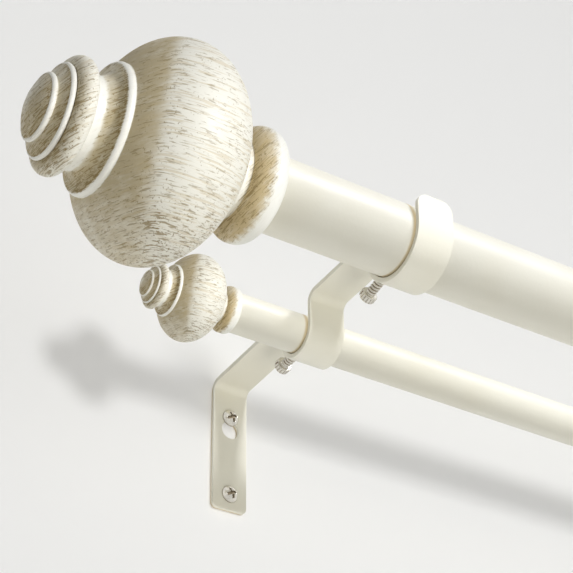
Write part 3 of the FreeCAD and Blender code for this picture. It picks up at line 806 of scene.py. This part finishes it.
def screw_grid(section):
    """Along, radius and angle of each point when a section (a, r) is turned in equal steps."""
    turn = 2 * np.pi * np.arange(SCREW_TURNS) / SCREW_TURNS
    along, angle = np.meshgrid(section[:, 0], turn, indexing="ij")
    return along, np.repeat(section[:, 1:2], SCREW_TURNS, 1), angle


def screw_mesh(name, along, radius, turn, recess, origin, axes):
    """Point (a, r, t) goes to origin + a axis + r (cos t, sin t) across. The end rows are single points."""
    way, first, second = (np.array(axis) for axis in axes)
    across = np.cos(turn)[..., None] * first + np.sin(turn)[..., None] * second
    grid = np.array(origin) + along[..., None] * way + radius[..., None] * across
    rows = slice(1, -1)
    ends = np.stack([grid[0, 0], grid[-1, 0]])
    points = np.concatenate([grid[rows].reshape(-1, 3), ends])
    mesh = mesh_from(name, points, turned_faces(len(grid) - 2, grid.shape[1]))
    store_weight(mesh, "recess", np.concatenate([recess[rows].ravel(), recess[[0, -1], 0]]))
    return mesh


def lock_screw_rows(size, pole_r):
    """Turned section of a lock screw from its tip to the end of its head, with thread, knurl and slot.

    The thread is a cosine groove whose phase is a / pitch - t / turn, the knurl a zigzag in t, and the slot
    lowers the head where the distance across is under half its width.
    """
    tip = pole_r + size.tip_gap
    head = tip + size.shank_length
    end = head + size.head_h
    flat_r = size.head_r - size.edge
    corners = [(tip, 0), (tip, size.shank_r - size.edge), (tip + size.edge, size.shank_r),
               (head, size.shank_r), (head, flat_r), (head + size.edge, size.head_r),
               (end - size.edge, size.head_r), (end, flat_r), (end, 0)]
    fine = SCREW_STEP / 2
    steps = [SCREW_STEP, fine, size.pitch / ROWS_TO_PITCH, SCREW_STEP, fine, SCREW_STEP, fine, fine]
    along, radius, angle = screw_grid(chained_runs(corners, steps))

    faded = np.clip(np.minimum(along - tip - size.edge, head - along) / size.pitch, 0, 1)
    threaded = faded * (radius >= size.shank_r - size.edge / 2) * (along < head)
    groove = (0.5 - 0.5 * np.cos(2 * np.pi * along / size.pitch - angle)) * threaded
    zigzag = np.abs((angle * size.knurls / (2 * np.pi)) % 1 * 2 - 1)
    rim = np.clip((radius - flat_r) / size.edge, 0, 1)
    radius = radius - size.groove * groove - size.knurl_depth * zigzag * rim
    slot = inside(radius * np.sin(angle), size.slot_width / 2) * np.clip((along - head) / size.edge, 0, 1)
    lowered = 1 - slot * size.slot_depth / size.head_h
    along = np.where(along > head, head + (along - head) * lowered, along)
    # Painted shade in the thread, between the knurls and in the slot.
    recess = groove * GROOVE_SHADE + zigzag * rim * KNURL_SHADE + slot * SLOT_SHADE
    return along, radius, angle, np.clip(recess, 0, 1)


def wall_screw_rows(size, length):
    """Turned section of a wall screw from its domed head to its point, with cross recess and thread.

    The dome is an arc, the recess lowers it to a flat floor inside two crossed bars, and the thread is a
    thin ridge whose phase is a / pitch - t / turn, tapered over the point.
    """
    dome_h = size.head_h - size.rim_h
    dome_r = (size.head_r ** 2 + dome_h ** 2) / (2 * dome_h)
    dome_deg = math.degrees(math.asin(size.head_r / dome_r))
    dome = round_run((dome_r, 0), dome_r, dome_r, 180, 180 - dome_deg, SCREW_STEP / 2)
    thread_start = size.head_h + size.neck_length
    corners = [(dome_h, size.head_r), (size.head_h, size.head_r), (size.head_h, size.neck_r),
               (thread_start, size.neck_r), (thread_start + size.core_r / 4, size.core_r),
               (length - size.point, size.core_r), (length, 0)]
    ridge_step = size.pitch / ROWS_TO_PITCH
    steps = [SCREW_STEP, SCREW_STEP, 3 * SCREW_STEP, ridge_step, ridge_step, ridge_step]
    along, radius, angle = screw_grid(np.concatenate([dome, chained_runs(corners, steps)]))

    to_point = np.clip((length - along) / size.point, 0, 1)
    taper = to_point * np.clip((along - thread_start) / size.pitch, 0, 1)
    phase = (along / size.pitch - angle / (2 * np.pi)) % 1
    ridge = np.clip(1 - np.abs(phase - 0.5) / RIDGE_HALF, 0, 1) * taper
    across, upward = radius * np.cos(angle - DRIVE_TURN), radius * np.sin(angle - DRIVE_TURN)
    level = inside(across, size.drive_reach) * inside(upward, size.drive_width / 2)
    upright = inside(across, size.drive_width / 2) * inside(upward, size.drive_reach)
    cross = np.maximum(level, upright) * (along < dome_h)
    along = along + cross * (size.drive_depth - along)
    radius = radius + (size.crest_r - size.core_r) * ridge
    foot = np.clip(along / size.head_h * 2 - 1, 0, 1) * (along <= size.head_h)
    # Painted shade in the cross and between the thread's ridges, and under the head painted shade and a
    # painted dark reflection.
    recess = np.maximum(cross, foot * FOOT_SHADE) + (1 - ridge) * (taper > 0) * CORE_SHADE
    return along, radius, angle, recess


class CURTAINPOLE_OT_cut_wall_screws(Operator):
    """Cut the wall screws: domed head with a cross recess, plain neck, thread and point"""
    bl_idname = "curtainpole.cut_wall_screws"
    bl_label = "Cut Wall Screws"

    def execute(self, context):
        settings = context.scene.curtain_pole
        material = screw_nickel("wall_screw_nickel", settings.finishes)
        for side_name in SIDES:
            for place in ("upper", "lower"):
                node = f"wall_screw_{place}_{side_name}"
                low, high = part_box(node)
                rows = wall_screw_rows(settings.wall_screw, high.y - low.y)
                origin = ((low.x + high.x) / 2, low.y, (low.z + high.z) / 2)
                axes = ((0, 1, 0), (1, 0, 0), (0, 0, 1))
                mesh = screw_mesh(node + "_dressed", *rows, origin, axes)
                place_piece(mesh, node, material)
        return {"FINISHED"}


class CURTAINPOLE_OT_cut_lock_screws(Operator):
    """Cut the lock screws: threaded shank and a knurled head with a slot, along the joint's axis"""
    bl_idname = "curtainpole.cut_lock_screws"
    bl_label = "Cut Lock Screws"

    def execute(self, context):
        settings = context.scene.curtain_pole
        material = screw_nickel("lock_screw_nickel", settings.finishes)
        ways = {joint["child"]: Vector(joint["axis"]) for joint in frame["joints"]}
        for side_name in SIDES:
            bracket_low, bracket_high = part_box(f"bracket_{side_name}")
            for pole in POLES:
                node = f"{pole}_lock_screw_{side_name}"
                low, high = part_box(f"{pole}_outer_tube")
                middle = (low + high) / 2
                origin = ((bracket_low.x + bracket_high.x) / 2, middle.y, middle.z)
                way = ways[frame["nodes"][node]["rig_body"]].normalized()
                level = Vector((1, 0, 0))
                rows = lock_screw_rows(settings.lock_screw, (high.z - low.z) / 2)
                mesh = screw_mesh(node + "_dressed", *rows, origin, (way, level, way.cross(level)))
                place_piece(mesh, node, material)
        return {"FINISHED"}


class CURTAINPOLE_OT_finish_fittings(Operator):
    """Finish the end plugs and the studs inside the tube ends"""
    bl_idname = "curtainpole.finish_fittings"
    bl_label = "Finish Fittings"

    def execute(self, context):
        finishes = context.scene.curtain_pole.finishes
        plastic = moulded_plastic("plug_plastic", finishes.plug)
        zinc = stud_zinc("stud_steel", finishes.zinc)
        for pole in POLES:
            for side_name in SIDES:
                coat_node(f"{pole}_end_plug_{side_name}", plastic)
                coat_node(f"{pole}_finial_stud_{side_name}", zinc)
        return {"FINISHED"}


WALL_BEHIND = 0.0003
WALL_HALF = 3.0
FLOOR_BELOW = 0.75
# Stage paint starts to be seen with a light of its own at the first distance, and fully at the second.
WALL_GLOW = (0.7, 1.8)
FLOOR_GLOW = (0.0, 0.1)
STAGE_GLOW = 0.9
STAGE_CLOUDS, STAGE_SHARE = 2.2, 0.985
SKY = (0.20, 0.199, 0.193)
BACKGROUND = (0.93, 0.93, 0.93)

CAMERA_PLACE = (-0.5775, -0.5830, -0.3612)
CAMERA_AZIMUTH = math.radians(-33.61)
CAMERA_ELEVATION = math.radians(-33.05)
CAMERA_ROLL = math.radians(-0.60)
CLIP_START = 0.01
IMAGE_SIDE = 573
FOCAL_PIXELS = 1879.0
SENSOR_WIDTH = 36.0

LAMP_TARGET = (-0.25, -0.10, 0.02)
LAMP_DISTANCE = 1.8
COOL_LIGHT = (0.95, 0.96, 1.0)
WARM_LIGHT = (1.0, 0.985, 0.93)
WHITE_LIGHT = (1.0, 1.0, 1.0)
# Each lamp: the way to it from the target, its side, its power, its colour, and whether gloss mirrors it.
LAMPS = {
    "key_lamp": ((0.42, -0.64, 0.64), 0.30, 14.2, COOL_LIGHT, True),
    "front_lamp": ((0.42, -0.84, 0.36), 0.30, 18.0, COOL_LIGHT, False),
    "bracket_lamp": ((0.04, -0.81, 0.585), 0.30, 33.0, COOL_LIGHT, True),
    "bracket_fill_lamp": ((-0.15, -0.85, -0.50), 1.0, 7.5, WARM_LIGHT, False),
    "finial_lamp": ((0.22, -0.97, 0.06), 0.30, 27.0, COOL_LIGHT, True),
    "fill_lamp": ((0.05, -0.64, -0.76), 1.0, 9.5, WARM_LIGHT, False),
    "wall_lamp": ((0.115, -0.99, 0.0), 0.30, 9.8, WHITE_LIGHT, True),
    "wall_fill_lamp": ((0.115, -0.99, 0.0), 1.2, 14.3, WHITE_LIGHT, True),
}


def flat_piece(name, corners, material):
    """A flat four-cornered stage piece."""
    mesh = bpy.data.meshes.new(name)
    mesh.from_pydata(corners, [], [(0, 1, 2, 3)])
    mesh.materials.append(material)
    piece = bpy.data.objects.new(name, mesh)
    bpy.context.scene.collection.objects.link(piece)
    return piece


def seen_rays(graph):
    """1 for rays from the camera and for those by mirror or glass, 0 for the light that rays carry on."""
    seen = graph.add("ShaderNodeLightPath", output="Is Camera Ray")
    glossy = graph.add("ShaderNodeLightPath", output="Is Glossy Ray")
    through = graph.add("ShaderNodeLightPath", output="Is Transmission Ray")
    return graph.ease(seen + glossy + through, 0.0, 1.0)


def stage_paint(name, colour, near, far):
    """Matt paint with faint clouds that can't be seen from behind.

    Further from the part than near, the paint is seen with a light of its own, fully so from far on.
    """
    material, graph = new_material(name)
    place = graph.object_place()
    shade = graph.mix(graph.noise(place, STAGE_CLOUDS), opaque(colour), darker(colour, STAGE_SHARE))
    away = graph.add("ShaderNodeVectorMath", {"operation": "LENGTH"}, {0: place}, 1)
    glowing = seen_rays(graph) * graph.ease(away, near, far)
    paint = graph.add("ShaderNodeBsdfDiffuse", None, {"Color": shade})
    glow = graph.add("ShaderNodeEmission", None, {"Color": shade, "Strength": STAGE_GLOW})
    front = graph.add("ShaderNodeMixShader", None, {0: glowing, 1: paint, 2: glow})
    behind = graph.add("ShaderNodeNewGeometry", output="Backfacing")
    clear = graph.add("ShaderNodeBsdfTransparent")
    surface = graph.add("ShaderNodeMixShader", None, {0: behind, 1: front, 2: clear})
    graph.add("ShaderNodeOutputMaterial", None, {"Surface": surface})
    return material


def linked_group(name, pieces, state):
    """A collection that a lamp includes or excludes."""
    group = bpy.data.collections.new(name)
    for piece in pieces:
        group.objects.link(piece)
    for item in group.collection_objects:
        item.light_linking.link_state = state
    return group


def add_lamp(name, lit, lit_state, casting=None, casting_state="INCLUDE"):
    """Hangs a square lamp of the table, aimed at the bracket.

    It lights the lit pieces alone, or all but them. If casting pieces are given, they alone, or all but
    them, cast shadows in it.
    """
    source, side, power, colour, mirrored = LAMPS[name]
    data = bpy.data.lights.new(name, "AREA")
    data.size = side
    data.energy = power
    data.color = colour
    lamp = bpy.data.objects.new(name, data)
    bpy.context.scene.collection.objects.link(lamp)
    way = Vector(source).normalized()
    lamp.location = Vector(LAMP_TARGET) + way * LAMP_DISTANCE
    lamp.rotation_euler = way.to_track_quat("Z", "Y").to_euler()
    lamp.visible_camera = False
    lamp.visible_glossy = mirrored
    lamp.light_linking.receiver_collection = linked_group(name + "_lit", lit, lit_state)
    if casting is not None:
        lamp.light_linking.blocker_collection = linked_group(name + "_shadow", casting, casting_state)
    return lamp


class CURTAINPOLE_OT_set_stage(Operator):
    """Set the stage: wall, floor, sky, lamps and camera"""
    bl_idname = "curtainpole.set_stage"
    bl_label = "Set Stage"

    def execute(self, context):
        finishes = context.scene.curtain_pole.finishes
        half = WALL_HALF
        low = -FLOOR_BELOW
        wall_corners = [(-half, WALL_BEHIND, low), (half, WALL_BEHIND, low),
                        (half, WALL_BEHIND, half), (-half, WALL_BEHIND, half)]
        floor_corners = [(-half, -2 * half, low), (half, -2 * half, low),
                         (half, half, low), (-half, half, low)]
        wall_paint = stage_paint("wall_paint", finishes.wall, *WALL_GLOW)
        wall = flat_piece("stage_wall", wall_corners, wall_paint)
        floor_paint = stage_paint("floor_paint", finishes.floor, *FLOOR_GLOW)
        floor = flat_piece("stage_floor", floor_corners, floor_paint)
        self.lamps(wall, floor)
        self.sky(context)
        self.camera(context)
        context.scene.view_settings.view_transform = "Standard"
        return {"FINISHED"}

    @staticmethod
    def lamps(wall, floor):
        """Two lamps for the tubes, two for the brackets, one for the finials, a fill, and two for the wall.

        The front pole set casts no shadow on the rear one. The wall gets the shadow of the rear set alone.
        """
        brackets = [frame["nodes"][f"bracket_{side_name}"] for side_name in SIDES]
        meshes = [piece for piece in bpy.context.scene.objects if piece.type == "MESH"]
        dressed = [piece for piece in meshes if piece.name.endswith("_dressed")]
        finials = [piece for piece in dressed if "_finial_" in piece.name]
        front_set = [piece for piece in meshes if piece.name.startswith("front_")]
        rear_set = [piece for piece in meshes if piece.name.startswith(("rear_", "bracket_"))]
        stage = [wall, floor]
        not_tubes = [*stage, *brackets, *finials]
        add_lamp("key_lamp", not_tubes, "EXCLUDE", front_set, "EXCLUDE")
        add_lamp("front_lamp", not_tubes, "EXCLUDE", [*front_set, *brackets], "EXCLUDE")
        add_lamp("bracket_lamp", brackets, "INCLUDE")
        add_lamp("bracket_fill_lamp", brackets, "INCLUDE", [floor], "EXCLUDE")
        add_lamp("finial_lamp", finials, "INCLUDE", finials)
        add_lamp("fill_lamp", stage, "EXCLUDE", [floor], "EXCLUDE")
        add_lamp("wall_lamp", [wall], "INCLUDE", rear_set)
        wall_fill = add_lamp("wall_fill_lamp", [wall], "INCLUDE")
        wall_fill.data.use_shadow = False

    @staticmethod
    def sky(context):
        """Even soft light, with a pale background where it is seen."""
        world = bpy.data.worlds.new("studio")
        world.use_nodes = True
        graph = Graph(world.node_tree)
        colour = graph.mix(seen_rays(graph), opaque(SKY), opaque(BACKGROUND))
        light = graph.add("ShaderNodeBackground", None, {"Color": colour, "Strength": 1.0})
        graph.add("ShaderNodeOutputWorld", None, {"Surface": light})
        context.scene.world = world

    @staticmethod
    def camera(context):
        """The camera stands low on the finial side; its axes come from azimuth, elevation and roll."""
        across, forward = math.sin(CAMERA_AZIMUTH), math.cos(CAMERA_AZIMUTH)
        flat = math.cos(CAMERA_ELEVATION)
        back = Vector((across * flat, -forward * flat, math.sin(CAMERA_ELEVATION)))
        level = Vector((forward, across, 0))
        upright = back.cross(level)
        right = level * math.cos(CAMERA_ROLL) + upright * math.sin(CAMERA_ROLL)
        up = upright * math.cos(CAMERA_ROLL) - level * math.sin(CAMERA_ROLL)
        data = bpy.data.cameras.new("camera")
        data.sensor_width = SENSOR_WIDTH
        data.lens = FOCAL_PIXELS * SENSOR_WIDTH / IMAGE_SIDE
        data.clip_start = CLIP_START
        camera = bpy.data.objects.new("camera", data)
        context.scene.collection.objects.link(camera)
        turn = Matrix((right, up, back)).transposed().to_4x4()
        camera.matrix_world = Matrix.Translation(CAMERA_PLACE) @ turn
        context.scene.camera = camera


OPERATORS = (
    CURTAINPOLE_OT_turn_finials,
    CURTAINPOLE_OT_paint_tubes,
    CURTAINPOLE_OT_paint_brackets,
    CURTAINPOLE_OT_cut_wall_screws,
    CURTAINPOLE_OT_cut_lock_screws,
    CURTAINPOLE_OT_finish_fittings,
    CURTAINPOLE_OT_set_stage,
)


class CURTAINPOLE_PT_panel(Panel):
    """Lists the steps that dress the curtain pole."""
    bl_idname = "CURTAINPOLE_PT_panel"
    bl_label = "Curtain Pole"
    bl_space_type = "VIEW_3D"
    bl_region_type = "UI"
    bl_category = "Curtain Pole"

    def draw(self, context):
        for operator in OPERATORS:
            self.layout.operator(operator.bl_idname)


GROUPS = (FrontFinialSizes, RearFinialSizes, LockScrewSizes, WallScrewSizes, PoleFinishes, PoleSettings)
CLASSES = (*GROUPS, *OPERATORS, CURTAINPOLE_PT_panel)


def register():
    for item in CLASSES:
        bpy.utils.register_class(item)
    bpy.types.Scene.curtain_pole = PointerProperty(type=PoleSettings)


def unregister():
    del bpy.types.Scene.curtain_pole
    for item in reversed(CLASSES):
        bpy.utils.unregister_class(item)


def main():
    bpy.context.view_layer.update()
    register()
    bpy.ops.curtainpole.turn_finials()
    bpy.ops.curtainpole.paint_tubes()
    bpy.ops.curtainpole.paint_brackets()
    bpy.ops.curtainpole.cut_wall_screws()
    bpy.ops.curtainpole.cut_lock_screws()
    bpy.ops.curtainpole.finish_fittings()
    bpy.ops.curtainpole.set_stage()


if __name__ == "__main__":
    main()
